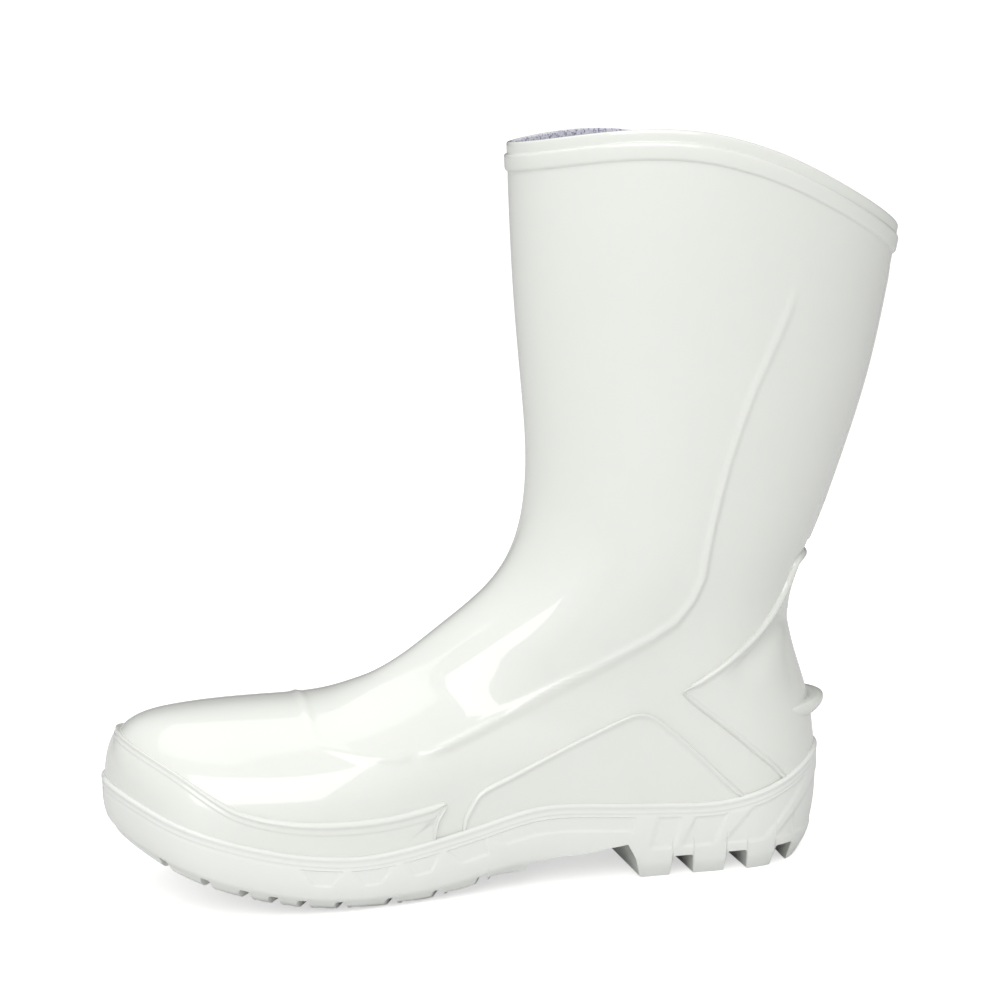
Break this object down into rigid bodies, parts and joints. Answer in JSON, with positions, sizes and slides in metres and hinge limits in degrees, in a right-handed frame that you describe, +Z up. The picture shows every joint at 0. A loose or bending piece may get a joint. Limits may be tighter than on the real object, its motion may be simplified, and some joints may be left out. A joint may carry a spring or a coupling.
{
  "type": "pvc wellington boot",
  "caption": "Short moulded wellington boot for the left foot: hollow upper with a dipped collar, bumper toe and kick-off spur, lugged outsole and loose insole.",
  "frame": {"origin": "on the floor, under the middle of the whole boot's box", "axes": "-X to the toe, +X to the heel, -Y to the outer side of the left foot, +Y to the inner side, +Z up"},
  "size_m": [0.3426, 0.109, 0.3094],
  "materials": {
    "upper": "glossy moulded pvc",
    "outsole": "satin moulded pvc",
    "insole": "woven cloth over foam"
  },
  "bodies": {
    "root": {"upper": "upper", "outsole": "outsole", "insole": "insole"}
  },
  "joints": []
}
